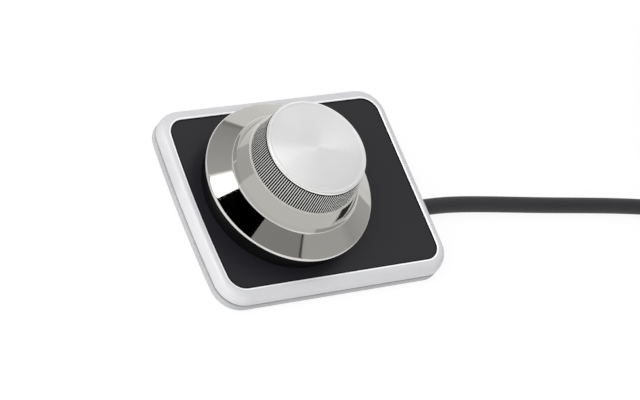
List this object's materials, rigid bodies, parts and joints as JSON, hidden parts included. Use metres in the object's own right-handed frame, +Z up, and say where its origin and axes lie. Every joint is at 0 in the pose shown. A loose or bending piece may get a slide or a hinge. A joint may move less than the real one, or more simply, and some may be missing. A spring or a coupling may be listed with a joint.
{
  "type": "remote level control knob",
  "caption": "Remote level control: a flared, knurled metal knob on a potentiometer, on a low plate with satin frame and black panel, with a coiled lead that ends in a modular plug.",
  "frame": {"origin": "middle of the plate's footprint on the surface it stands on, at the underside of the pad", "axes": "+Z up through the knob; +X along the plate, towards the side that the cable leaves; +Y across the plate"},
  "size_m": [0.3207, 0.0706, 0.0322],
  "materials": {
    "satin_metal": "fine satin, light silver",
    "panel_black": "fine matte charcoal",
    "base_grey": "satin silver grey",
    "pad_rubber": "matte black foam rubber",
    "steel": "bright zinc plate",
    "plinth_black": "smooth black",
    "board_green": "solder mask",
    "track_brown": "laminate",
    "brass": "bright turned brass",
    "turned_metal": "fine turned, spun on the top",
    "ivory_plastic": "natural nylon",
    "chrome": "polished, warm grey",
    "hub_plastic": "moulded black",
    "lead_jacket": "coloured wire insulation",
    "cable_rubber": "matte black jacket",
    "strap_fabric": "woven hook and loop strap",
    "plug_clear": "clear moulded plastic"
  },
  "bodies": {
    "plate": {"bezel_frame": "satin_metal", "face_panel": "panel_black", "base_plate": "base_grey", "base_pad": "pad_rubber", "base_screws": "steel", "plinth": "plinth_black", "plinth_screws": "steel", "circuit_board": "board_green", "pot_case": "steel", "pot_track": "track_brown", "pot_terminals": "steel", "pot_bushing": "brass", "pot_washer": "steel", "pot_nut": "brass", "wire_leads": "lead_jacket", "lead_tie": "ivory_plastic", "cable_bush": "cable_rubber", "cord_tube": "cable_rubber", "cord_hank": "cable_rubber", "hank_tie": "strap_fabric", "plug_boot": "cable_rubber", "plug_body": "plug_clear", "plug_contacts": "brass"},
    "knob": {"knob_skirt": "chrome", "knob_cap": "turned_metal", "knob_hub": "hub_plastic", "hub_clip": "steel", "pot_shaft": "turned_metal", "pot_wiper": "ivory_plastic", "shaft_ring": "steel"}
  },
  "joints": [
    {"name": "knob_turn", "type": "hinge", "parent": "plate", "child": "knob", "pos_m": [-0.0085, 0, 0.0125], "axis": [0, 0, 1], "range_deg": [-150, 150]}
  ]
}
